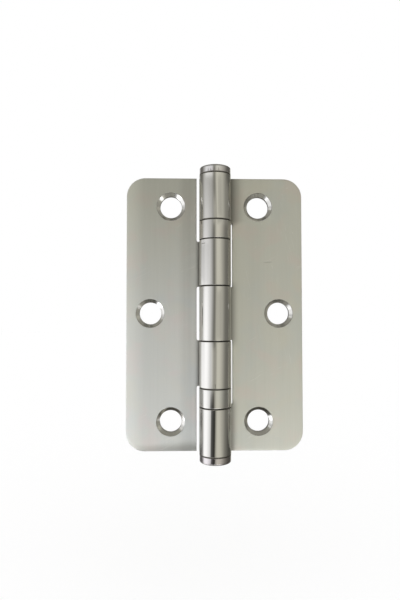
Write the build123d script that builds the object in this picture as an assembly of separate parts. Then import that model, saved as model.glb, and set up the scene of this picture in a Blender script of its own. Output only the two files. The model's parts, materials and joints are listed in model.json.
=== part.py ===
from build123d import *
import os
from math import asin, degrees, radians, tan

# Radius corner butt hinge with twin ball bearings, opened flat. Sizes are in millimetres.
# The origin is on the pin's axis at mid height. +Z runs up the pin, +X points to the right
# leaf, and the countersunk faces look towards -Y.

# Leaves
LEAF_HEIGHT = 102.0
LEAF_WIDTH = 33.0  # from the pin's axis to the free edge
LEAF_THICKNESS = 2.5
CORNER_RADIUS = 7.0
EDGE_ROUND = 0.25  # broken edge round the leaves and the knuckle ends
NOTCH_CLEARANCE = 0.9  # from the barrel to the edge of the notch beside it
NOTCH_ROUND = 0.6  # corner at the foot of a notch

# Barrel
PIN_DIAMETER = 6.6
PIN_CLEARANCE = 0.05  # radial, in the knuckles
PIN_CHAMFER = 0.5
END_KNUCKLE_HEIGHT = 17.0
INNER_KNUCKLE_HEIGHT = 17.0
BEARING_HEIGHT = 7.0
KNUCKLE_GAP = 0.2  # where two knuckles meet with no bearing between them
SEAM_GAP = 0.15  # from the rolled strip's end to the front of its own leaf
SEAM_ROUND = 0.35

# Caps
CAP_HEIGHT = 2.8
CAP_INSET = 0.1  # from the barrel's outside in to the cap's
CAP_ROUND = 0.6
CAP_FOOT_ROUND = 0.2
SPIGOT_LENGTH = 5.0
SPIGOT_CLEARANCE = 0.01  # radial, a push fit in the end knuckle
SPIGOT_CHAMFER = 0.4
SPIGOT_TO_PIN_GAP = 0.1

# Screw holes
SCREW_HOLE_DIAMETER = 8.2
COUNTERSINK_DIAMETER = 10.7
COUNTERSINK_ANGLE = 90.0
END_HOLE_OUT = 16.4  # from the pin's axis
END_HOLE_SPACING = 80.4
MIDDLE_HOLE_INSET = 8.9  # from the free edge

# Ball bearings
BALL_DIAMETER = 1.5
BALL_COUNT = 10
BALL_CLEARANCE = 0.05  # ball to groove, and ball to pocket
SHELL_WALL = 0.4
SHELL_SETBACK = 0.15  # from a race's outer face in to the shell's end
SHELL_LIP = 0.4  # reach and thickness of the turned-in lip
SHELL_ROUND = 0.25
RACE_CLEARANCE = 0.05  # race to shell
RACE_SPACING = 1.0  # between the inner faces of the two races
CAGE_THICKNESS = 0.7
CAGE_CLEARANCE = 0.1  # radial, cage to pin and cage to shell

# Sizes that follow from those above
BORE_RADIUS = PIN_DIAMETER / 2 + PIN_CLEARANCE
BARREL_RADIUS = BORE_RADIUS + LEAF_THICKNESS
NOTCH_EDGE = BARREL_RADIUS + NOTCH_CLEARANCE
BARREL_END = LEAF_HEIGHT / 2
BEARING_OUTER_END = BARREL_END - END_KNUCKLE_HEIGHT
BEARING_INNER_END = BEARING_OUTER_END - BEARING_HEIGHT
BEARING_MIDDLE = (BEARING_OUTER_END + BEARING_INNER_END) / 2
CENTRE_KNUCKLE_END = BEARING_INNER_END - INNER_KNUCKLE_HEIGHT
SHELL_BORE_RADIUS = BARREL_RADIUS - SHELL_WALL
TRACK_RADIUS = (PIN_DIAMETER / 2 + SHELL_BORE_RADIUS) / 2
BALL_RADIUS = BALL_DIAMETER / 2

# Where each leaf's knuckles start and end along the pin, lowest first
RIGHT_KNUCKLES = (
    (-BARREL_END, -BEARING_OUTER_END),
    (-CENTRE_KNUCKLE_END + KNUCKLE_GAP / 2, CENTRE_KNUCKLE_END - KNUCKLE_GAP / 2),
    (BEARING_OUTER_END, BARREL_END),
)
LEFT_KNUCKLES = (
    (-BEARING_INNER_END, -CENTRE_KNUCKLE_END - KNUCKLE_GAP / 2),
    (CENTRE_KNUCKLE_END + KNUCKLE_GAP / 2, BEARING_INNER_END),
)


def turned(*points):
    """A solid turned about the pin's axis from an outline of (radius, height) points."""
    return revolve(make_face(Plane.XZ * Polyline(*points, close=True)), axis=Axis.Z)


def rims(solid, height):
    """The circular edges of a turned solid at one height, widest last."""
    level = [edge for edge in solid.edges() if abs(edge.center().Z - height) < 1e-6]
    return ShapeList(level).sort_by(Edge.length)


def notches_between(knuckles):
    """The stretches along the pin that a leaf leaves free for the other leaf."""
    ends = [-BARREL_END, *[z for knuckle in knuckles for z in knuckle], BARREL_END]
    return [(low, high) for low, high in zip(ends[0::2], ends[1::2]) if high > low]


def leaf_blank(knuckles):
    """The punched outline of a leaf, flat, with a strip at each knuckle that reaches the pin's axis."""
    blank = Pos(LEAF_WIDTH / 2, 0) * Rectangle(LEAF_WIDTH, LEAF_HEIGHT)
    blank = fillet(blank.vertices().group_by(Axis.X)[-1], CORNER_RADIUS)
    for low, high in notches_between(knuckles):
        blank -= Pos(0, (low + high) / 2) * Rectangle(2 * NOTCH_EDGE, high - low)
    feet = [v for v in blank.vertices() if abs(v.X - NOTCH_EDGE) < 1e-6 and abs(v.Y) < BARREL_END - 1e-6]
    return fillet(feet, NOTCH_ROUND)


def rolled_knuckle(low, high):
    """The strip rolled on from the leaf's back, round the pin, until its end meets the leaf's front."""
    last_angle = degrees(asin((BORE_RADIUS - SEAM_GAP) / BARREL_RADIUS))
    outside = CenterArc((0, 0), BARREL_RADIUS, 90, 270 + last_angle)
    inside = CenterArc((0, 0), BORE_RADIUS, 90, 270 + last_angle)
    root = Line(inside @ 0, outside @ 0)
    tip = Line(inside @ 1, outside @ 1)
    section = make_face([root, outside, tip, inside])
    section = fillet(section.vertices().sort_by_distance(outside @ 1)[0], SEAM_ROUND)
    return extrude(Pos(0, 0, low) * section, high - low)


def screw_hole():
    """The space of a countersunk hole that opens towards -Y, cut from the leaf's front inwards."""
    slope = tan(radians(COUNTERSINK_ANGLE / 2))
    wide = COUNTERSINK_DIAMETER / 2
    narrow = SCREW_HOLE_DIAMETER / 2
    depth = (wide - narrow) / slope
    outline = Polyline(
        (0, -LEAF_THICKNESS),
        (wide + LEAF_THICKNESS * slope, -LEAF_THICKNESS),
        (narrow, depth),
        (narrow, 2 * LEAF_THICKNESS),
        (0, 2 * LEAF_THICKNESS),
        close=True,
    )
    return revolve(make_face(outline), axis=Axis.Y)


def outer_edges(leaf):
    """The edges that deburring rounds: the plate's outline on both faces, and the knuckles' ends."""
    front_and_back = (BORE_RADIUS, BARREL_RADIUS)
    rolled = (BARREL_RADIUS, SEAM_ROUND)
    chosen = ShapeList()
    for edge in leaf.edges():
        start, end = edge @ 0, edge @ 1
        hole_rim = edge.is_closed
        along_pin = abs(start.X) < 1e-6 and abs(end.X) < 1e-6
        flat = any(abs(start.Y - y) < 1e-6 and abs(end.Y - y) < 1e-6 for y in front_and_back)
        on_roll = edge.geom_type == GeomType.CIRCLE and any(abs(edge.radius - r) < 1e-6 for r in rolled)
        if not hole_rim and (on_roll or (flat and not along_pin)):
            chosen.append(edge)
    return chosen


def make_leaf(knuckles):
    """A leaf to the right of the pin: a flat plate with rolled knuckles, notches and screw holes."""
    back = Plane.XZ.offset(-BARREL_RADIUS)
    leaf = extrude(back * leaf_blank(knuckles), LEAF_THICKNESS)
    for low, high in knuckles:
        leaf += rolled_knuckle(low, high)
    places = [
        (END_HOLE_OUT, END_HOLE_SPACING / 2),
        (LEAF_WIDTH - MIDDLE_HOLE_INSET, 0),
        (END_HOLE_OUT, -END_HOLE_SPACING / 2),
    ]
    for out, height in places:
        leaf -= Pos(out, BORE_RADIUS, height) * screw_hole()
    return fillet(outer_edges(leaf), EDGE_ROUND)


def make_pin():
    """The plain pin, which stops short of the caps' spigots."""
    half = BARREL_END - SPIGOT_LENGTH - SPIGOT_TO_PIN_GAP
    pin = Cylinder(PIN_DIAMETER / 2, 2 * half)
    return chamfer(rims(pin, half) + rims(pin, -half), PIN_CHAMFER)


def make_top_cap():
    """A turned button that covers the end knuckle, with a spigot pushed into its bore."""
    radius = BARREL_RADIUS - CAP_INSET
    spigot_radius = BORE_RADIUS - SPIGOT_CLEARANCE
    cap = turned(
        (0, -SPIGOT_LENGTH),
        (spigot_radius, -SPIGOT_LENGTH),
        (spigot_radius, 0),
        (radius, 0),
        (radius, CAP_HEIGHT),
        (0, CAP_HEIGHT),
    )
    cap = fillet(rims(cap, CAP_HEIGHT), CAP_ROUND)
    cap = fillet(rims(cap, 0)[-1], CAP_FOOT_ROUND)
    cap = chamfer(rims(cap, -SPIGOT_LENGTH), SPIGOT_CHAMFER)
    return Pos(0, 0, BARREL_END) * cap


def make_shell():
    """The bearing's outer tube, with a lip turned in at each end. Its middle is at height 0."""
    half = BEARING_HEIGHT / 2 - SHELL_SETBACK
    lip_bore = SHELL_BORE_RADIUS - SHELL_LIP
    shell = turned(
        (BARREL_RADIUS, -half),
        (BARREL_RADIUS, half),
        (lip_bore, half),
        (lip_bore, half - SHELL_LIP),
        (SHELL_BORE_RADIUS, half - SHELL_LIP),
        (SHELL_BORE_RADIUS, SHELL_LIP - half),
        (lip_bore, SHELL_LIP - half),
        (lip_bore, -half),
    )
    return fillet([rims(shell, half)[-1], rims(shell, -half)[-1]], SHELL_ROUND)


def make_top_race():
    """The ring above the balls: a groove for them below, and a step for the shell's lip above."""
    outer_end = BEARING_HEIGHT / 2
    inner_end = RACE_SPACING / 2
    radius = SHELL_BORE_RADIUS - RACE_CLEARANCE
    neck = radius - SHELL_LIP
    step = outer_end - SHELL_SETBACK - SHELL_LIP - RACE_CLEARANCE
    race = turned(
        (BORE_RADIUS, inner_end),
        (radius, inner_end),
        (radius, step),
        (neck, step),
        (neck, outer_end),
        (BORE_RADIUS, outer_end),
    )
    return race - Torus(TRACK_RADIUS, BALL_RADIUS + BALL_CLEARANCE)


def make_cage():
    """A flat ring with a round pocket for each ball."""
    inner = PIN_DIAMETER / 2 + CAGE_CLEARANCE
    outer = SHELL_BORE_RADIUS - CAGE_CLEARANCE
    ring = Cylinder(outer, CAGE_THICKNESS) - Cylinder(inner, CAGE_THICKNESS)
    pocket = Cylinder(BALL_RADIUS + BALL_CLEARANCE, 2 * CAGE_THICKNESS)
    for place in PolarLocations(TRACK_RADIUS, BALL_COUNT):
        ring -= place * pocket
    return ring


def bearing_parts():
    """One ball bearing about height 0, as a node name and a solid for each piece."""
    top_race = make_top_race()
    parts = {
        "shell": make_shell(),
        "top_race": top_race,
        "bottom_race": Rot(180, 0, 0) * top_race,
        "cage": make_cage(),
    }
    for number, place in enumerate(PolarLocations(TRACK_RADIUS, BALL_COUNT), start=1):
        parts[f"ball_{number:02d}"] = place * Sphere(BALL_RADIUS)
    return parts


def hinge_parts():
    """Every piece of the hinge, as a node name and a solid."""
    top_cap = make_top_cap()
    parts = {
        "right_leaf": make_leaf(RIGHT_KNUCKLES),
        "left_leaf": Rot(0, 180, 0) * make_leaf(LEFT_KNUCKLES),
        "hinge_pin": make_pin(),
        "top_cap": top_cap,
        "bottom_cap": Rot(180, 0, 0) * top_cap,
    }
    bearing = bearing_parts()
    for name, height in (("upper_bearing", BEARING_MIDDLE), ("lower_bearing", -BEARING_MIDDLE)):
        for piece, solid in bearing.items():
            parts[f"{name}_{piece}"] = Pos(0, 0, height) * solid
    return parts


os.makedirs("parts", exist_ok=True)
for node, solid in hinge_parts().items():
    export_step(solid, f"parts/{node}.step")
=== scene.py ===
import json
import math

import bpy
from mathutils import Euler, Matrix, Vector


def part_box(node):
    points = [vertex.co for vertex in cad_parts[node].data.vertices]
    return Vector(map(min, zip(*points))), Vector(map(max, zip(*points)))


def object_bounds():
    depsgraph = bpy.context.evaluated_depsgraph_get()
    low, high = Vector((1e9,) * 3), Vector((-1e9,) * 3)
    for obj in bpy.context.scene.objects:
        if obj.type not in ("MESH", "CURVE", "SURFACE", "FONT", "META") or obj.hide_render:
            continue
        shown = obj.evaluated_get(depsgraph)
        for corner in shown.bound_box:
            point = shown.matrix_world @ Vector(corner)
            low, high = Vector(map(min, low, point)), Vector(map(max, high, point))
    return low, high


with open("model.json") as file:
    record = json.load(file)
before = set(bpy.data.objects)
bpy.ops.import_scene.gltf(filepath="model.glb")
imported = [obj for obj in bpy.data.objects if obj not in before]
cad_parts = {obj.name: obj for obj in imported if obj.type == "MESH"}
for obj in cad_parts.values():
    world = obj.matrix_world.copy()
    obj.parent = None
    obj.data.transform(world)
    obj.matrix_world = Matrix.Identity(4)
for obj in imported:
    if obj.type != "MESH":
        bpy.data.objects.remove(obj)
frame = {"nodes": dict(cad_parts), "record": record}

# Looks of the radius corner butt hinge. Metres, +Z up the pin, countersunk faces towards -Y.
CAD_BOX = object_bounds()
MM = 0.001

# Sizes that the finishes follow, read from the model where it holds them, in millimetres
LEAF_HALF_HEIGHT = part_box("right_leaf")[1].z / MM
LEAF_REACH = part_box("right_leaf")[1].x / MM
BARREL_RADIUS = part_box("right_leaf")[1].y / MM
CAP_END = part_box("top_cap")[1].z / MM
BEARING_OUTER_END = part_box("upper_bearing_top_race")[1].z / MM
BEARING_INNER_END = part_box("upper_bearing_bottom_race")[0].z / MM
CENTRE_KNUCKLE_END = 10.0
JOINTS = (CENTRE_KNUCKLE_END, BEARING_INNER_END, BEARING_OUTER_END, LEAF_HALF_HEIGHT)
CORNER_RADIUS = 7.0
END_HOLE = (16.4, 40.2)  # out from the pin's axis, and up from mid height
MIDDLE_HOLE = (24.1, 0.0)
COUNTERSINK_RADIUS = 5.35
SCREW_HOLE_RADIUS = 4.1
LEAF_THICKNESS = 2.5
LEAF_FRONT = BARREL_RADIUS - LEAF_THICKNESS  # behind the axis, as the leaf's back is at the barrel's radius
COUNTERSINK_FOOT = LEAF_FRONT + COUNTERSINK_RADIUS - SCREW_HOLE_RADIUS
SEAM_OUT = 5.4  # from the pin's axis to where a rolled strip's end meets its leaf's front

# Where the photograph was taken from
CAMERA_PLACE = (-0.0103, -0.1714, -0.0007)
CAMERA_PITCH = 1.88  # degrees up
CAMERA_YAW = -1.58  # degrees to the left, so it looks a little to the right
CAMERA_LENS = 28.0  # mm on a 36 mm sensor
CAMERA_CLIP = 0.005


class Wiring:
    """Adds nodes to one node tree. A socket given as a value is linked, and a number or colour is set."""

    def __init__(self, tree):
        self.tree = tree

    def fill(self, socket, value):
        if isinstance(value, bpy.types.NodeSocket):
            self.tree.links.new(value, socket)
        else:
            socket.default_value = value

    def add(self, kind, inputs=(), **settings):
        node = self.tree.nodes.new(kind)
        for name, value in settings.items():
            setattr(node, name, value)
        for socket, value in dict(inputs).items():
            self.fill(node.inputs[socket], value)
        return node

    def math(self, operation, *values):
        return self.add("ShaderNodeMath", enumerate(values), operation=operation).outputs[0]

    def total(self, first, *others):
        for other in others:
            first = self.math("ADD", first, other)
        return first

    def product(self, first, *others):
        for other in others:
            first = self.math("MULTIPLY", first, other)
        return first

    def length(self, a, b):
        """The length of a line that goes a one way and b square to it."""
        return self.math("SQRT", self.math("MULTIPLY_ADD", a, a, self.math("MULTIPLY", b, b)))

    def vector(self, operation, *values):
        places = (0, "Scale") if operation == "SCALE" else range(len(values))
        return self.add("ShaderNodeVectorMath", zip(places, values), operation=operation).outputs["Vector"]

    def scaled(self, vector, across, through, along):
        """The vector with one unit for each of these lengths in millimetres."""
        return self.vector("MULTIPLY", vector, [1 / (size * MM) for size in (across, through, along)])

    def millimetres(self, vector):
        return self.add("ShaderNodeSeparateXYZ", {0: self.scaled(vector, 1, 1, 1)}).outputs

    def noise(self, vector, detail=2.0, distortion=0.0):
        inputs = {"Vector": vector, "Scale": 1.0, "Detail": detail, "Distortion": distortion}
        return self.add("ShaderNodeTexNoise", inputs).outputs["Fac"]

    def remap(self, value, low, high, out_low=0.0, out_high=1.0, smooth=False):
        inputs = {"Value": value, "From Min": low, "From Max": high, "To Min": out_low, "To Max": out_high}
        kind = "SMOOTHSTEP" if smooth else "LINEAR"
        return self.add("ShaderNodeMapRange", inputs, interpolation_type=kind, clamp=True).outputs["Result"]

    def hump(self, value, begins, full_from, full_to, ends):
        """A soft-edged stretch: 1 between the middle two values, and 0 outside the outer two."""
        rise = self.remap(value, begins, full_from, smooth=True)
        return self.math("MULTIPLY", rise, self.remap(value, ends, full_to, smooth=True))

    def blend(self, factor, first, second):
        """From the first number to the second as the factor goes from 0 to 1."""
        node = self.add("ShaderNodeMix", data_type="FLOAT")
        for socket, value in zip(node.inputs[:1] + node.inputs[2:4], (factor, first, second)):
            self.fill(socket, value)
        return node.outputs[0]

    def mix(self, factor, first, second, blend="MIX"):
        """From the first colour to the second as the factor goes from 0 to 1."""
        node = self.add("ShaderNodeMix", data_type="RGBA", blend_type=blend)
        for number, value in ((0, factor), (6, first), (7, second)):
            self.fill(node.inputs[number], value)
        return node.outputs[2]

    def curve(self, value, points):
        """A value through straight lines between (place from 0 to 1, level) points."""
        node = self.add("ShaderNodeValToRGB", {"Fac": value})
        stops = node.color_ramp.elements
        stops.remove(stops[-1])
        for number, (place, level) in enumerate(points):
            stop = stops[0] if number == 0 else stops.new(place)
            stop.position = place
            stop.color = (level, level, level, 1)
        return node.outputs["Color"]


# Light and camera

# What the metal reflects. Azimuths are degrees from the front, positive to the right, and elevations are
# degrees above the horizon. Each stretch is where a patch begins, is full from, is full to, and ends. The
# last number is how bright a patch is, or the share of the light that a shade takes away.
DAYLIGHT = {
    "window": ((-140, -82, -74, -17), (-58, -40, -4, 24), 0.85),
    "left wall": ((-109, -81, -36, -9), (-60, -50, 0, 40), 0.39),
    "far side, left": ((-182, -181, -158, -128), (-40, -20, 60, 80), 0.62),
    "bench, left": ((-130, -85, -68, -48), (-56, -42, -33, -19), 2.1),
    "bench, middle": ((-50, -28, 30, 58), (-50, -38, -33, -19), 3.1),
    "window's top": ((-90, -70, -30, -12), (16.5, 17.0, 22, 30), 0.42),
}
LAMPLIGHT = {
    "right wall": ((-14, 13, 17, 83), (-60, -50, 20, 45), 0.54),
    "between, low": ((-40, -26, -10, 0), (-9.7, -9.0, -4.5, -3.4), 0.20),
    "between, high": ((-26, -16, -8, 0), (10.9, 11.5, 13.0, 15.5), 0.23),
    "right wall, high": ((30, 60, 85, 110), (11.0, 11.8, 17, 19), 0.06),
    "far side, right": ((124, 158, 181, 182), (-40, -20, 60, 80), 0.62),
    "bench, near": ((-55, -35, 35, 55), (-76, -70, -60, -50), 0.22),
}
SHADES = {
    "camera": ((-40, -30, -11, -2), (-44, -36, -12, -8), 0.80),
    "shelf, right": ((6, 18, 28, 52), (11.8, 12.4, 16.6, 17.4), 0.26),
    "sill, right": ((2, 10, 30, 50), (-3.3, -2.6, 2.6, 3.4), 0.20),
    "transom, left": ((-120, -100, -60, -45), (3.4, 4.2, 8.6, 9.3), 0.17),
    "high, left": ((-158, -148, -112, -95), (15, 17, 30, 60), 0.40),
    "high, right": ((70, 95, 148, 158), (15, 17, 30, 60), 0.50),
    "low, left": ((-158, -148, -112, -95), (-40, -30, -15, -12), 0.60),
    "low, right": ((75, 100, 148, 158), (-40, -30, -15, -12), 0.45),
}
# The rest of the room, lit by the lamp: how bright it is at each elevation
ROOM = (
    (-90, 0.04), (-82, 0.07), (-72, 0.13), (-60, 0.13), (-45, 0.20), (8, 0.20), (16.5, 0.25),
    (18, 0.34), (32, 0.38), (55, 0.34), (66, 0.34), (76, 0.17), (90, 0.12))
DAY_COLOUR = (0.985, 1.0, 1.05)
LAMP_COLOUR = (1.0, 0.985, 0.87)
WHITE = (1, 1, 1, 1)

FLOOR_DROP = 0.06  # below the hinge
FLOOR_HALF = 3.0
FLOOR_PAINT = 0.8  # how much light it sends back


def light_the_room():
    """A plain white surround to the camera and to the floor. Metal reflects a room with a bright window on
    the left, a dark patch where the camera stands, and a lit bench below."""
    world = bpy.data.worlds.new("studio")
    bpy.context.scene.world = world
    world.use_nodes = True
    world.node_tree.nodes.clear()
    w = Wiring(world.node_tree)
    parts = w.add("ShaderNodeSeparateXYZ", {0: w.add("ShaderNodeTexCoord").outputs["Generated"]}).outputs
    azimuth = w.math("DEGREES", w.math("ARCTAN2", parts["X"], w.math("MULTIPLY", parts["Y"], -1.0)))
    elevation = w.math("DEGREES", w.math("ARCSINE", parts["Z"]))
    tilt = w.math("MULTIPLY_ADD", elevation, 1 / 180, 0.5)  # 0 straight down, 1 straight up
    room = w.curve(tilt, [(degrees / 180 + 0.5, level) for degrees, level in ROOM])

    def patches(table):
        return [
            w.product(w.hump(azimuth, *across), w.hump(elevation, *up), level)
            for across, up, level in table.values()
        ]

    day = w.vector("SCALE", DAY_COLOUR, w.total(*patches(DAYLIGHT)))
    lamp = w.vector("SCALE", LAMP_COLOUR, w.total(room, *patches(LAMPLIGHT)))
    open_share = w.product(*[w.math("SUBTRACT", 1.0, shade) for shade in patches(SHADES)])
    light = w.vector("ADD", day, lamp)
    reflected = w.add("ShaderNodeBackground", {"Color": light, "Strength": open_share})
    white = w.add("ShaderNodeBackground", {"Color": WHITE, "Strength": 1.0})
    in_metal = w.add("ShaderNodeLightPath").outputs["Is Glossy Ray"]
    both = w.add("ShaderNodeMixShader", {0: in_metal, 1: white.outputs[0], 2: reflected.outputs[0]})
    w.add("ShaderNodeOutputWorld", {"Surface": both.outputs[0]})


def lay_the_floor():
    """A pale floor a little below the hinge, white to the camera where no shadow falls."""
    level = CAD_BOX[0].z - FLOOR_DROP
    corners = [(x * FLOOR_HALF, y * FLOOR_HALF, level) for x, y in ((-1, -1), (1, -1), (1, 1), (-1, 1))]
    mesh = bpy.data.meshes.new("floor")
    mesh.from_pydata(corners, [], [(0, 1, 2, 3)])
    floor = bpy.data.objects.new("floor", mesh)
    bpy.context.scene.collection.objects.link(floor)
    material, w = new_material("pale_floor")
    path = w.add("ShaderNodeLightPath").outputs
    seen = w.math("MAXIMUM", path["Is Camera Ray"], path["Is Transmission Ray"])
    up_to_white = w.math("MULTIPLY", seen, 1 - FLOOR_PAINT)
    lift = w.add("ShaderNodeEmission", {"Color": WHITE, "Strength": up_to_white})
    paint = w.add("ShaderNodeBsdfDiffuse", {"Color": (FLOOR_PAINT, FLOOR_PAINT, FLOOR_PAINT, 1)})
    both = w.add("ShaderNodeAddShader", {0: paint.outputs[0], 1: lift.outputs[0]})
    w.add("ShaderNodeOutputMaterial", {"Surface": both.outputs[0]})
    mesh.materials.append(material)
    floor.visible_glossy = False


def set_the_camera():
    data = bpy.data.cameras.new("photograph")
    data.lens = CAMERA_LENS
    data.clip_start = CAMERA_CLIP
    camera = bpy.data.objects.new("photograph", data)
    camera.location = CAMERA_PLACE
    camera.rotation_euler = Euler((math.radians(90 + CAMERA_PITCH), 0, math.radians(CAMERA_YAW)))
    bpy.context.scene.collection.objects.link(camera)
    bpy.context.scene.camera = camera


# Surface effects that several finishes share, with their lengths and heights in millimetres

# How long one cell of each noise is: across the pin, through the leaf and along the pin
FINE_GRAIN = (0.25, 0.25, 16)
MIDDLE_GRAIN = (0.9, 0.9, 45)
BROAD_GRAIN = (5, 5, 90)
SCRATCH = (1.1, 4, 22)
SCRATCHED_PATCH = (7, 7, 11)
WAVE = (5, 5, 40)
TARNISH_PATCH = (1.6, 1.6, 1.6)
BRASS_GRAIN = (0.12, 0.12, 0.12)
# The levels of a noise, or the distances from its middle, at which each mask begins and is full
STAINED = (0.48, 0.72)
ON_SCRATCH = (0.010, 0.002)
SCRATCHED = (0.56, 0.66)
TARNISHED = (0.42, 0.68)

# Each film of stains: the size of its blotches, and how far to the right and up its noise is shifted
STAINS = {"Warm": (17.0, 0.0), "Cool": (13.0, 31.0), "Rosy": (9.0, 67.0)}
STAIN_CURLS = 0.4
SCRATCH_LEANS = (12, -63)  # degrees off the pin, one for each set of scratches
SCRATCH_SHIFT = 50.0  # between the noises that keep each set
JOINT_GRIME = (0.42, 0.16)  # from a joint, where its grime begins and where it is full
FLANK_SHADE = (4.3, 4.8, 5.2, 6.0)  # to the side of the axis, where the painted dark reflection begins, is full and ends
FLANK_SHADE_SHARE = 0.45
# Degrees that the face of each piece of the barrel turns, from the bottom cap to the top one
LEANS = (0.4, 0.0, 2.0, -0.8, -1.0, -1.5, 0.0, -2.5, -1.0)
WAVE_HEIGHT = 0.07
WAVE_SHIFT = 37.0  # between the noises of one piece of the barrel and the next
STRIP_END = 4.2  # to the left of the axis, where the left leaf's rolled strips turn flatter
STRIP_FLATNESS = 0.25  # height for each square millimetre past that
RING_WIDTH = 0.12
RING_HEIGHT = 0.16
BARREL_EDGE = (BARREL_RADIUS + 0.55, BARREL_RADIUS + 0.10)  # where the barrel's polish begins and is full
HOLE_EDGE = (SCREW_HOLE_RADIUS + 0.06, SCREW_HOLE_RADIUS + 0.02)  # the same for a hole's sheared wall
SHARP = 0.05  # half the width of a sharp mask's edge
# How much further from its hole's axis each wall counts as lying, for each millimetre that way
LEFT_OUTER_LEAN = 1.8
RIGHT_OUTER_LEAN = 1.2
LOWEST_TOP_LEAN = -0.8
# How far from a seam its painted shade begins, and how near it is full
LEFT_SEAM_SHADE = 2.2
RIGHT_SEAM_SHADE = 4.0
TOP_RIGHT_SEAM_SHADE = 7.2
SEAM_SHADE_CORE = 0.4


def new_material(name):
    material = bpy.data.materials.new(name)
    material.use_nodes = True
    material.node_tree.nodes.clear()
    return material, Wiring(material.node_tree)


def group(name, outputs):
    """Makes a node group that takes the place on the object and will put out these values. Gives its wiring
    and that place."""
    tree = bpy.data.node_groups.new(name, "ShaderNodeTree")
    tree.interface.new_socket("Place", in_out="INPUT", socket_type="NodeSocketVector")
    for socket in outputs:
        tree.interface.new_socket(socket, in_out="OUTPUT", socket_type="NodeSocketFloat")
    w = Wiring(tree)
    return w, w.add("NodeGroupInput").outputs["Place"]


def place_group(w, name, place):
    """The outputs of one of the shared effects, at this place on the object."""
    return w.add("ShaderNodeGroup", {"Place": place}, node_tree=bpy.data.node_groups[name]).outputs


def brushed_grain():
    """Streaks along the pin: two noises stretched along Z, a fine one on a wider one. Bands is one broader
    still."""
    w, place = group("brushed grain", ("Streaks", "Bands"))
    fine = w.noise(w.scaled(place, *FINE_GRAIN), detail=3)
    middle = w.noise(w.scaled(place, *MIDDLE_GRAIN))
    bands = w.noise(w.scaled(place, *BROAD_GRAIN))
    w.add("NodeGroupOutput", {"Streaks": w.math("MULTIPLY", w.total(fine, middle), 0.5), "Bands": bands})


def handling_stains():
    """Soft blotchy masks: a warm film, a cool one and a faint rosy one."""
    w, place = group("handling stains", STAINS)
    masks = {}
    for name, (size, shift) in STAINS.items():
        shifted = w.vector("ADD", place, (shift * MM, 0, shift * MM))
        blotches = w.noise(w.scaled(shifted, size, size, size), detail=2.5, distortion=STAIN_CURLS)
        masks[name] = w.remap(blotches, *STAINED, smooth=True)
    w.add("NodeGroupOutput", masks)


def fine_scratches():
    """Hairlines in two directions: the thin lines where a stretched noise crosses its middle, kept here and
    there by a broad noise."""
    w, place = group("fine scratches", ("Lines",))
    lines = 0.0
    for number, lean in enumerate(SCRATCH_LEANS):
        turn = {"Vector": place, "Axis": (0, 1, 0), "Angle": math.radians(lean)}
        turned = w.add("ShaderNodeVectorRotate", turn).outputs[0]
        stretched = w.noise(w.scaled(turned, *SCRATCH), detail=1)
        line = w.remap(w.math("ABSOLUTE", w.math("SUBTRACT", stretched, 0.5)), *ON_SCRATCH)
        shifted = w.vector("ADD", turned, (0, 0, number * SCRATCH_SHIFT * MM))
        keep = w.remap(w.noise(w.scaled(shifted, *SCRATCHED_PATCH)), *SCRATCHED)
        lines = w.math("MAXIMUM", lines, w.math("MULTIPLY", line, keep))
    w.add("NodeGroupOutput", {"Lines": lines})


def barrel_joints():
    """What changes along the barrel. Grime lies in each joint between its pieces, and a painted dark
    reflection, painted shade, lies on its right flank and on its left flank from the lower bearing down; one
    mask holds both. Number is a different whole number for each piece, so that no two are marked alike."""
    w, place = group("barrel joints", ("Grime and shade", "Number"))
    x, _, z = w.millimetres(place)
    up = w.math("ABSOLUTE", z)
    to_joint = LEAF_HALF_HEIGHT  # no place is as far as that from a joint
    number = 0.0
    for joint in JOINTS:
        to_joint = w.math("MINIMUM", to_joint, w.math("ABSOLUTE", w.math("SUBTRACT", up, joint)))
        number = w.math("ADD", number, w.math("GREATER_THAN", up, joint))
    number = w.math("MULTIPLY", number, w.math("SIGN", z))
    in_joint = w.remap(to_joint, *JOINT_GRIME, smooth=True)
    shaded_flank = w.math("MAXIMUM", w.math("GREATER_THAN", x, 0.0), w.math("LESS_THAN", z, -BEARING_INNER_END))
    # A painted dark reflection on the barrel's flanks
    film = w.product(w.hump(w.math("ABSOLUTE", x), *FLANK_SHADE), shaded_flank, FLANK_SHADE_SHARE)
    w.add("NodeGroupOutput", {"Grime and shade": w.math("MAXIMUM", in_joint, film), "Number": number})


def rolling_waves():
    """The slight waves that rolling and polishing leave on a barrel, as a height in millimetres. Each piece
    of the barrel has its own part of one noise and its own lean, because each was rolled by itself. The ends
    of the left leaf's strips are a little flatter."""
    w, place = group("rolling waves", ("Height",))
    x, y, z = w.millimetres(place)
    number = place_group(w, "barrel joints", place)["Number"]
    own = w.add("ShaderNodeCombineXYZ", {"X": w.math("MULTIPLY", number, WAVE_SHIFT * MM)}).outputs[0]
    around = w.noise(w.scaled(w.vector("ADD", place, own), *WAVE), detail=1)
    waves = w.product(w.math("SUBTRACT", around, 0.5), WAVE_HEIGHT)

    edges = (*[-joint for joint in reversed(JOINTS)], *JOINTS)
    slopes = [-math.tan(math.radians(lean)) for lean in LEANS]
    slope = slopes[0]
    for edge, below, above in zip(edges, slopes, slopes[1:]):
        slope = w.math("MULTIPLY_ADD", w.math("GREATER_THAN", z, edge), above - below, slope)

    up = w.math("ABSOLUTE", z)
    above_centre = w.math("GREATER_THAN", up, CENTRE_KNUCKLE_END)
    left_strip = w.math("MULTIPLY", above_centre, w.math("LESS_THAN", up, BEARING_INNER_END))
    past = w.math("MAXIMUM", w.math("SUBTRACT", -STRIP_END, x), 0.0)
    flatter = w.product(past, past, left_strip, w.math("LESS_THAN", y, LEAF_FRONT), STRIP_FLATNESS)
    w.add("NodeGroupOutput", {"Height": w.total(w.math("MULTIPLY", slope, x), waves, flatter)})


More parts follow.
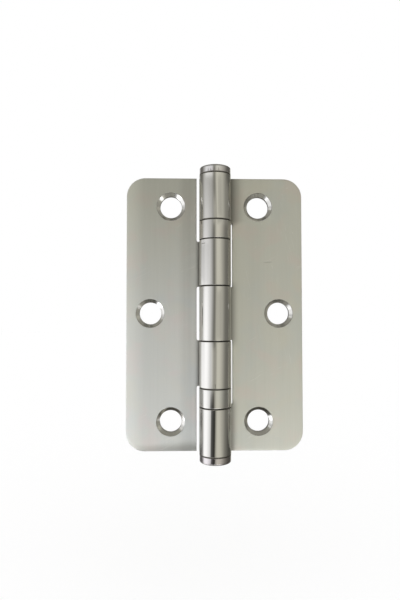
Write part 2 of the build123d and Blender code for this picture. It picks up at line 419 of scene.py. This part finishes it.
def turning_marks():
    """Fine rings about the pin, as a height from 0 to 1, from a noise of the radius and the height alone."""
    w, place = group("turning marks", ("Height",))
    x, y, z = w.millimetres(place)
    outward = w.math("DIVIDE", w.length(x, y), RING_WIDTH)
    rings = w.add("ShaderNodeCombineXYZ", {"X": outward, "Z": w.math("DIVIDE", z, RING_HEIGHT)})
    w.add("NodeGroupOutput", {"Height": w.noise(rings.outputs[0], detail=2)})


def leaning_dish(w, x, z, to_hole):
    """The distance from the nearest hole's axis, with more for the side away from the barrel and less for the
    top side of the lowest holes, so that those walls lean."""
    out, up = w.math("ABSOLUTE", x), w.math("ABSOLUTE", z)
    hole_out = w.blend(w.math("GREATER_THAN", up, END_HOLE[1] / 2), MIDDLE_HOLE[0], END_HOLE[0])
    outer_side = w.math("MAXIMUM", w.math("SUBTRACT", out, hole_out), 0.0)
    outer_lean = w.blend(w.math("GREATER_THAN", x, 0.0), LEFT_OUTER_LEAN, RIGHT_OUTER_LEAN)
    lowest = w.math("LESS_THAN", z, -END_HOLE[1] / 2)
    top_side = w.math("MULTIPLY", w.math("MAXIMUM", w.math("ADD", z, END_HOLE[1]), 0.0), lowest)
    return w.total(
        to_hole, w.math("MULTIPLY", outer_side, outer_lean), w.math("MULTIPLY", top_side, LOWEST_TOP_LEAN))


def painted_seam_shade(w, x, y, z):
    """A mask of painted shade that darkens towards the seams on a leaf's front, where the barrel shades the
    leaf, only where the leaf has rolled strips. It is widest beside the right leaf's top strip."""
    out, up = w.math("ABSOLUTE", x), w.math("ABSOLUTE", z)
    left = w.math("LESS_THAN", x, 0.0)
    left_strips = w.hump(
        up, CENTRE_KNUCKLE_END - 2, CENTRE_KNUCKLE_END + 1, BEARING_INNER_END - 1, BEARING_INNER_END + 2)
    right_gaps = w.hump(
        up, CENTRE_KNUCKLE_END - 1, CENTRE_KNUCKLE_END + 3, BEARING_OUTER_END - 3, BEARING_OUTER_END + 1)
    strips = w.blend(left, w.math("SUBTRACT", 1.0, right_gaps), left_strips)
    to_seam = w.length(w.math("SUBTRACT", out, SEAM_OUT), w.math("SUBTRACT", y, LEAF_FRONT))
    right_reach = w.remap(z, BEARING_OUTER_END - 1, BEARING_OUTER_END + 1, RIGHT_SEAM_SHADE, TOP_RIGHT_SEAM_SHADE)
    near = w.remap(to_seam, w.blend(left, right_reach, LEFT_SEAM_SHADE), SEAM_SHADE_CORE)
    return w.product(near, near, strips, w.math("LESS_THAN", y, COUNTERSINK_FOOT))


def inset_from_outline(w, x, z):
    """The distance in from a leaf's outline with its rounded corners."""
    past_x = w.math("SUBTRACT", w.math("ABSOLUTE", x), LEAF_REACH - CORNER_RADIUS)
    past_z = w.math("SUBTRACT", w.math("ABSOLUTE", z), LEAF_HALF_HEIGHT - CORNER_RADIUS)
    corner = w.length(w.math("MAXIMUM", past_x, 0.0), w.math("MAXIMUM", past_z, 0.0))
    side = w.math("MINIMUM", w.math("MAXIMUM", past_x, past_z), 0.0)
    return w.math("SUBTRACT", CORNER_RADIUS, w.math("ADD", corner, side))


def leaf_zones():
    """Parts of a leaf. Barrel, Countersink and Hole are masks, and so is the painted shade at the seams.
    Inset is the distance in from the outline, and Dish the distance from the nearest hole's axis with its
    walls' leans, in millimetres."""
    w, place = group("leaf zones", ("Barrel", "Countersink", "Hole", "Seam", "Inset", "Dish"))
    x, y, z = w.millimetres(place)
    out, up = w.math("ABSOLUTE", x), w.math("ABSOLUTE", z)
    to_hole = w.math("MINIMUM", *[
        w.length(w.math("SUBTRACT", out, hole_out), w.math("SUBTRACT", up, hole_up))
        for hole_out, hole_up in (END_HOLE, MIDDLE_HOLE)
    ])
    sink = w.remap(to_hole, COUNTERSINK_RADIUS + SHARP, COUNTERSINK_RADIUS - SHARP)
    w.add("NodeGroupOutput", {
        "Barrel": w.remap(w.length(x, y), *BARREL_EDGE, smooth=True),
        "Countersink": w.math("MULTIPLY", sink, w.math("LESS_THAN", y, COUNTERSINK_FOOT + SHARP)),
        "Hole": w.remap(to_hole, *HOLE_EDGE),
        "Seam": painted_seam_shade(w, x, y, z),
        "Inset": inset_from_outline(w, x, z),
        "Dish": leaning_dish(w, x, z, to_hole),
    })


EFFECTS = (
    brushed_grain, handling_stains, fine_scratches, barrel_joints, rolling_waves, turning_marks, leaf_zones)
for make_group in EFFECTS:
    make_group()


# Finishes

LEAF_COLOUR = (0.695, 0.695, 0.66, 1)
LEAF_SHADED = (0.66, 0.66, 0.62, 1)
WARM_FILM = (0.69, 0.675, 0.615, 1)
COOL_FILM = (0.64, 0.66, 0.65, 1)
ROSY_FILM = (0.72, 0.65, 0.62, 1)
WARMER = (1.0, 0.995, 0.95, 1)
COOLER = (0.99, 1.0, 1.03, 1)
BARE = (0.82, 0.81, 0.78, 1)
POLISHED = (0.68, 0.665, 0.635, 1)
CAP_STEEL = (0.63, 0.595, 0.60, 1)
COUNTERSUNK = (0.66, 0.65, 0.62, 1)
SHEARED = (0.20, 0.19, 0.17, 1)
# Also the colour of painted shade at the seams, on the barrel's flanks and on the caps' rims
GRIME_AND_SHADE = (0.15, 0.14, 0.12, 1)
BEARING_STEEL = (0.72, 0.72, 0.73, 1)
OIL_FILM = (0.60, 0.57, 0.50, 1)
BRASS = (0.72, 0.56, 0.26, 1)
TARNISH = (0.50, 0.36, 0.17, 1)

# The colour of each film of stains, and how much of it shows
LEAF_FILMS = {"Warm": (WARM_FILM, 0.6), "Cool": (COOL_FILM, 0.5), "Rosy": (ROSY_FILM, 0.45)}
POLISHED_FILMS = {"Rosy": (ROSY_FILM, 0.5), "Cool": (COOL_FILM, 0.5)}
BEARING_FILMS = {"Warm": (OIL_FILM, 0.7)}

# How strongly each of these colours what it lies on
SCRATCH_SHARE = 0.22
DENT_SHARE = 0.20
MARK_SHARE = 0.4
SEAM_SHADE_SHARE = 0.95
# The rim's share is painted shade
RIM_SHADE_SHARE = 0.5
TARNISH_SHARE = 0.7

# How bright the leaves' satin is painted, as factors and what is added to them: painted light and shade for
# how the light falls on the leaves
RIGHT_PAINTED_LEVEL = 1.04
LEFT_PAINTED_SHADES = (0.975, 0.78)  # painted shade, darker upwards, at the two heights that follow
LEFT_SHADE_HEIGHTS = (-5, 45)
EDGE_HIGHLIGHT = 0.22  # painted highlight added along the left leaf's free edge
EDGE_HIGHLIGHT_WIDTH = 8.0
ROOT_HIGHLIGHT = 0.10  # painted highlight added on the left leaf and beside the barrel on the right one
ROOT_HIGHLIGHT_REACH = (BARREL_RADIUS + 9, BARREL_RADIUS + 1)
PAINTED_STRIP_SHADE = -0.09  # painted shade added beside the left leaf's rolled strips
PAINTED_STRIP_SHADE_REACH = (-14, -11, -9.5, -7.5)

# The left leaf's foot, below a slanted line, is curled forward, and painted shade darkens it
FOOT_TOP = -45.1  # where the slanted line meets the pin's axis
FOOT_SLANT = 0.12
FOOT_CURL = 0.022
FOOT_SHADE_DEPTHS = (0.8, 4.2)  # below the line, where its painted shade begins and is full
FOOT_SHADE = 0.74

# Each mark: its middle to the right of the pin and up, half its width and half its height
DENT = ((20.1, 19.4), 1.9, 0.30)
SCRAPE = ((-0.35, -26.0), 0.18, 0.9)
SMUDGE = ((-4.5, 25.3), 0.8, 0.26)

# Where the skin of a leaf's front, and a cap's rim going up and going out, begins and is full
FRONT_SKIN = (LEAF_FRONT + 1.2, LEAF_FRONT + 0.4)
CAP_RIM_UP = (CAP_END - 0.9, CAP_END - 0.4)
CAP_RIM_OUT = (BARREL_RADIUS - 1.4, BARREL_RADIUS - 0.9)

# How rough each surface is
STREAKS = (0.3, 0.7)  # from the faint to the strong streaks of the grain
SATIN_ROUGHNESS = (0.56, 0.64)  # at those streaks
BARREL_ROUGHNESS = 0.06
SINK_ROUGHNESS = 0.14
CAP_ROUGHNESS = 0.05
RIM_ROUGHNESS = 0.3
BEARING_ROUGHNESS = 0.07
BRASS_ROUGHNESS = 0.22
GRIME_ROUGHNESS = 0.5
# What these add to it
SATIN_SCRATCHES = -0.15
POLISH_SCRATCHES = 0.03
POLISH_STAINS = 0.06
OIL_STAINS = 0.10
TARNISH_STAINS = 0.18
BRASS_SPECKS = 0.10

# Heights in millimetres. The dish's is for each millimetre, and the foot's for each square one
ROLL_OVER = -0.05  # of a leaf's punched edge
ROLL_OVER_WIDTH = 1.3
DISH_SLOPE = -0.12
SATIN_GRAIN = 0.004
BARREL_GRAIN = 0.0015
SCRATCH_DEPTH = -0.002
SCRAPE_DEPTH = -0.01
DENT_DEPTH = -0.03
CAP_RINGS = 0.0002
BEARING_RINGS = 0.0008
BRASS_GRIT = 0.004


def across_the_grain(w, place):
    """The direction round the pin, which on a flat leaf lies across its brushed grain."""
    around = w.vector("CROSS_PRODUCT", (0, 0, 1), place)
    to_world = {"vector_type": "VECTOR", "convert_from": "OBJECT", "convert_to": "WORLD"}
    turned = w.add("ShaderNodeVectorTransform", {0: around}, **to_world)
    return w.vector("NORMALIZE", turned.outputs[0])


def relief(w, height):
    """The normal of a surface that stands proud by this height in millimetres."""
    return w.add("ShaderNodeBump", {"Height": height, "Distance": MM}).outputs["Normal"]


def finish(material, w, **inputs):
    """Puts these inputs on the material's shader, where a name's underscore stands for a space."""
    sockets = {name.replace("_", " "): value for name, value in inputs.items()}
    shader = w.add("ShaderNodeBsdfPrincipled", sockets)
    w.add("ShaderNodeOutputMaterial", {"Surface": shader.outputs[0]})
    return material


def mark(w, x, z, middle, half_width, half_height):
    """A mask that is 1 on one small straight mark, with its middle and its half sizes in millimetres."""
    across = w.math("ABSOLUTE", w.math("SUBTRACT", x, middle[0]))
    along = w.math("ABSOLUTE", w.math("SUBTRACT", z, middle[1]))
    narrow = w.remap(across, half_width, half_width / 2)
    return w.math("MULTIPLY", narrow, w.remap(along, half_height, half_height / 2))


def stained(w, colour, stains, films):
    """The colour with these films of stains over it."""
    for name, (film, share) in films.items():
        colour = w.mix(w.math("MULTIPLY", stains[name], share), colour, film)
    return colour


def left_foot(w, x, z, left_front):
    """How far a place on the left leaf's front lies below the slanted line near its foot, or else 0."""
    line = w.math("MULTIPLY", x, FOOT_SLANT)
    below = w.math("MAXIMUM", w.math("SUBTRACT", line, w.math("SUBTRACT", z, FOOT_TOP)), 0.0)
    return w.math("MULTIPLY", below, left_front)


def painted_satin_light(w, x, left, high, foot):
    """The painted light and shade on the satin, as a factor. The left leaf has painted shade that darkens it
    upwards, beside its strips and at its foot, and a painted highlight along its free edge; both leaves have
    a painted highlight by the barrel."""
    edge = w.remap(x, EDGE_HIGHLIGHT_WIDTH - LEAF_REACH, -LEAF_REACH, smooth=True)
    root = w.remap(x, *ROOT_HIGHLIGHT_REACH, smooth=True)
    own = w.blend(left, RIGHT_PAINTED_LEVEL, w.blend(high, *LEFT_PAINTED_SHADES))
    beside_strips = w.math("MULTIPLY", w.hump(x, *PAINTED_STRIP_SHADE_REACH), PAINTED_STRIP_SHADE)
    painted_light = w.total(w.math("MULTIPLY", edge, EDGE_HIGHLIGHT), w.math("MULTIPLY", root, ROOT_HIGHLIGHT), own, beside_strips)
    return w.math("MULTIPLY", painted_light, w.remap(foot, *FOOT_SHADE_DEPTHS, 1.0, FOOT_SHADE, smooth=True))


def satin_colour(w, place, left, front, foot):
    """The brushed satin of a leaf with its stains and its painted light and shade. The left leaf's front is
    cooler towards its foot.
    """
    x, _, z = w.millimetres(place)
    colour = w.mix(place_group(w, "brushed grain", place)["Bands"], LEAF_COLOUR, LEAF_SHADED)
    colour = stained(w, colour, place_group(w, "handling stains", place), LEAF_FILMS)
    high = w.remap(z, *LEFT_SHADE_HEIGHTS)
    tint = w.mix(w.blend(w.math("MULTIPLY", left, front), 1.0, high), COOLER, WARMER)
    # Painted light and shade over the satin
    colour = w.mix(1.0, colour, painted_satin_light(w, x, left, high, foot), "MULTIPLY")
    return w.mix(1.0, colour, tint, "MULTIPLY")


def leaf_steel():
    """Stainless sheet: brushed satin along the pin, polished on the barrel, bright in the countersinks."""
    material, w = new_material("leaf_steel")
    place = w.add("ShaderNodeTexCoord").outputs["Object"]
    x, y, z = w.millimetres(place)
    zone = place_group(w, "leaf zones", place)
    streaks = place_group(w, "brushed grain", place)["Streaks"]
    scratches = place_group(w, "fine scratches", place)["Lines"]
    waves = place_group(w, "rolling waves", place)["Height"]
    joint_grime_and_shade = place_group(w, "barrel joints", place)["Grime and shade"]
    barrel, sink = zone["Barrel"], zone["Countersink"]
    flat = w.math("SUBTRACT", 1.0, w.math("MAXIMUM", barrel, sink))
    front = w.remap(y, *FRONT_SKIN)
    left = w.math("LESS_THAN", x, 0.0)
    foot = left_foot(w, x, z, w.math("MULTIPLY", left, front))
    dent, scrape, smudge = [
        w.math("MULTIPLY", mark(w, x, z, *spot), front) for spot in (DENT, SCRAPE, SMUDGE)
    ]
    dark_marks = w.math("MULTIPLY", w.math("MAXIMUM", scrape, smudge), MARK_SHARE)
    grime_and_shade = w.math("MAXIMUM", w.math("MULTIPLY", joint_grime_and_shade, barrel), dark_marks)

    colour = satin_colour(w, place, left, front, foot)
    colour = w.mix(w.math("MULTIPLY", scratches, SCRATCH_SHARE), colour, BARE)
    colour = w.mix(w.math("MULTIPLY", dent, DENT_SHARE), colour, GRIME_AND_SHADE)
    colour = w.mix(flat, w.mix(sink, POLISHED, COUNTERSUNK), colour)
    colour = w.mix(zone["Hole"], colour, SHEARED)
    # Painted shade towards the seams, where the barrel shades the leaf
    colour = w.mix(w.math("MULTIPLY", zone["Seam"], SEAM_SHADE_SHARE), colour, GRIME_AND_SHADE)
    # Grime in the barrel's joints and on the marks, with a painted dark reflection on the barrel's flanks
    colour = w.mix(grime_and_shade, colour, GRIME_AND_SHADE)

    satin = w.remap(streaks, *STREAKS, *SATIN_ROUGHNESS)
    satin = w.math("MULTIPLY_ADD", scratches, SATIN_SCRATCHES, satin)
    roughness = w.blend(sink, w.blend(barrel, satin, BARREL_ROUGHNESS), SINK_ROUGHNESS)
    roughness = w.blend(w.math("MAXIMUM", grime_and_shade, zone["Hole"]), roughness, GRIME_ROUGHNESS)

    near_edge = w.remap(zone["Inset"], ROLL_OVER_WIDTH, 0.0)
    height = w.total(
        w.product(streaks, w.remap(barrel, 0.0, 1.0, SATIN_GRAIN, BARREL_GRAIN)),
        w.product(waves, barrel),
        w.product(near_edge, near_edge, flat, ROLL_OVER),
        w.product(zone["Dish"], sink, DISH_SLOPE),
        w.product(foot, foot, flat, FOOT_CURL),
        w.product(scrape, SCRAPE_DEPTH),
        w.product(dent, DENT_DEPTH),
        w.product(scratches, flat, SCRATCH_DEPTH))
    return finish(
        material, w, Base_Color=colour, Metallic=1.0, Roughness=roughness, Anisotropic=0.5,
        Tangent=across_the_grain(w, place), Normal=relief(w, height))


def polished_steel():
    """Turned and polished steel for the caps, the bearing shells and the pin, with grime in the joints, a
    painted dark reflection on the barrel's flanks, and painted shade on the caps' rims, which are rougher."""
    material, w = new_material("polished_steel")
    place = w.add("ShaderNodeTexCoord").outputs["Object"]
    x, y, z = w.millimetres(place)
    stains = place_group(w, "handling stains", place)
    grime_and_shade = place_group(w, "barrel joints", place)["Grime and shade"]
    scratches = place_group(w, "fine scratches", place)["Lines"]
    turned = place_group(w, "turning marks", place)["Height"]
    waves = place_group(w, "rolling waves", place)["Height"]
    up = w.math("ABSOLUTE", z)
    rim = w.math("MULTIPLY", w.remap(up, *CAP_RIM_UP), w.remap(w.length(x, y), *CAP_RIM_OUT))

    colour = w.mix(w.math("GREATER_THAN", up, LEAF_HALF_HEIGHT), POLISHED, CAP_STEEL)
    colour = stained(w, colour, stains, POLISHED_FILMS)
    # Grime in the joints, with a painted dark reflection on the barrel's flanks and painted shade on the
    # caps' rims
    colour = w.mix(w.math("MAXIMUM", w.math("MULTIPLY", rim, RIM_SHADE_SHARE), grime_and_shade), colour, GRIME_AND_SHADE)

    worn = w.product(stains["Warm"], POLISH_STAINS), w.product(scratches, POLISH_SCRATCHES)
    roughness = w.blend(rim, w.total(*worn, CAP_ROUGHNESS), RIM_ROUGHNESS)
    roughness = w.blend(grime_and_shade, roughness, GRIME_ROUGHNESS)
    height = w.math("MULTIPLY_ADD", turned, CAP_RINGS, waves)
    return finish(material, w, Base_Color=colour, Metallic=1.0, Roughness=roughness, Normal=relief(w, height))


def bearing_steel():
    """Ground steel of the races and balls, with a thin film of oil."""
    material, w = new_material("bearing_steel")
    place = w.add("ShaderNodeTexCoord").outputs["Object"]
    stains = place_group(w, "handling stains", place)
    turned = place_group(w, "turning marks", place)["Height"]
    colour = stained(w, BEARING_STEEL, stains, BEARING_FILMS)
    roughness = w.math("MULTIPLY_ADD", stains["Warm"], OIL_STAINS, BEARING_ROUGHNESS)
    return finish(
        material, w, Base_Color=colour, Metallic=1.0, Roughness=roughness,
        Normal=relief(w, w.math("MULTIPLY", turned, BEARING_RINGS)))


def cage_brass():
    """Stamped brass of the ball cages, dulled in patches."""
    material, w = new_material("cage_brass")
    place = w.add("ShaderNodeTexCoord").outputs["Object"]
    patches = w.remap(w.noise(w.scaled(place, *TARNISH_PATCH), detail=4), *TARNISHED, smooth=True)
    grit = w.noise(w.scaled(place, *BRASS_GRAIN), detail=2)
    colour = w.mix(w.math("MULTIPLY", patches, TARNISH_SHARE), BRASS, TARNISH)
    worn = w.product(patches, TARNISH_STAINS), w.product(grit, BRASS_SPECKS)
    roughness = w.total(*worn, BRASS_ROUGHNESS)
    return finish(
        material, w, Base_Color=colour, Metallic=1.0, Roughness=roughness,
        Normal=relief(w, w.math("MULTIPLY", grit, BRASS_GRIT)))


def round_normals(node):
    """Smooth shading on the rounded edges that leaves the flat faces flat."""
    node.modifiers.new("merge", "WELD").merge_threshold = 1e-7
    node.modifiers.new("creases", "EDGE_SPLIT").split_angle = math.radians(30)
    node.modifiers.new("flat faces first", "WEIGHTED_NORMAL").keep_sharp = True


FINISHES = {
    "leaf_stainless": leaf_steel(),
    "polished_stainless": polished_steel(),
    "bearing_steel": bearing_steel(),
    "cage_brass": cage_brass(),
}
for row in frame["record"]["subparts"]:
    node = frame["nodes"][row["node"]]
    node.data.materials.clear()
    node.data.materials.append(FINISHES[row["material_slot"]])
    round_normals(node)

light_the_room()
lay_the_floor()
set_the_camera()
bpy.context.scene.view_settings.view_transform = "Standard"
